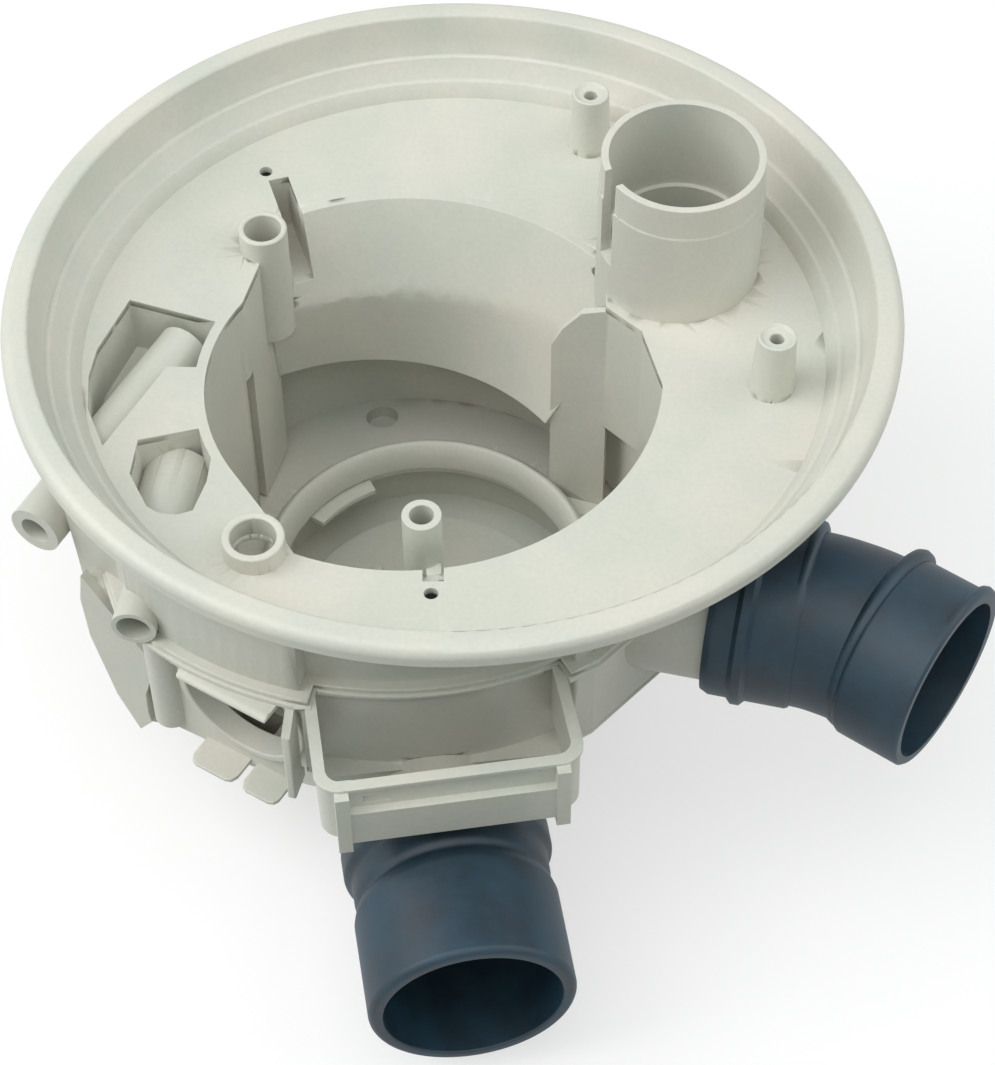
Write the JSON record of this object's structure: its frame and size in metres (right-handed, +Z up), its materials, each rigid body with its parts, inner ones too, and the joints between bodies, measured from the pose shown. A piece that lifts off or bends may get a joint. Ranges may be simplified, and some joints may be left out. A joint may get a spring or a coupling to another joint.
{
  "type": "dishwasher sump assembly",
  "caption": "Round moulded dishwasher sump: funnel and well over a welded pot, filter seat, feed socket, hose nipples, drain chamber with a flap valve, and two rubber pump sleeves.",
  "frame": {"origin": "the point where the axis of the round rim meets the plane of the rim's top", "axes": "+Z up along the rim's axis, out of the tub opening; -Y to the front, where the suction sleeve points; +X to the right, where the pressure sleeve is"},
  "size_m": [0.2899, 0.3145, 0.167],
  "materials": {
    "grey_plastic": "moulded, slightly satin",
    "sleeve_rubber": "moulded, dull",
    "flap_rubber": "dull",
    "pin_steel": "ground"
  },
  "bodies": {
    "sump": {"rim_collar": "grey_plastic", "funnel_floor": "grey_plastic", "well_wall": "grey_plastic", "well_rear_wall": "grey_plastic", "feed_socket": "grey_plastic", "screw_posts": "grey_plastic", "front_locating_post": "grey_plastic", "rear_locating_post": "grey_plastic", "latch_post": "grey_plastic", "left_guide_wall": "grey_plastic", "right_guide_blade": "grey_plastic", "upper_inlet_nipple": "grey_plastic", "lower_inlet_nipple": "grey_plastic", "port_hood": "grey_plastic", "pump_port": "grey_plastic", "drain_passage": "grey_plastic", "drain_outlet": "grey_plastic", "drain_chamber": "grey_plastic", "pot_floor": "grey_plastic", "chamber_wall": "grey_plastic", "chamber_floor": "grey_plastic", "filter_seat": "grey_plastic", "drain_cup": "grey_plastic", "port_snap_tabs": "grey_plastic", "locating_fin": "grey_plastic", "rear_pocket_tray": "grey_plastic", "front_pocket_tray": "grey_plastic", "keyway_trough": "grey_plastic", "feed_duct": "grey_plastic", "upper_skirt": "grey_plastic", "upper_seam_flange": "grey_plastic", "lower_seam_flange": "grey_plastic", "pot_wall": "grey_plastic", "front_guard": "grey_plastic", "suction_spigot": "grey_plastic", "pressure_spigot": "grey_plastic", "suction_sleeve": "sleeve_rubber", "pressure_sleeve": "sleeve_rubber", "flap_pin": "pin_steel"},
    "flap": {"non_return_flap": "flap_rubber"}
  },
  "joints": [
    {"name": "flap_hinge", "type": "hinge", "parent": "sump", "child": "flap", "pos_m": [-0.08336, -0.06574, -0.0929], "axis": [0.7071, 0.7071, 0], "range_deg": [0, 65]}
  ]
}
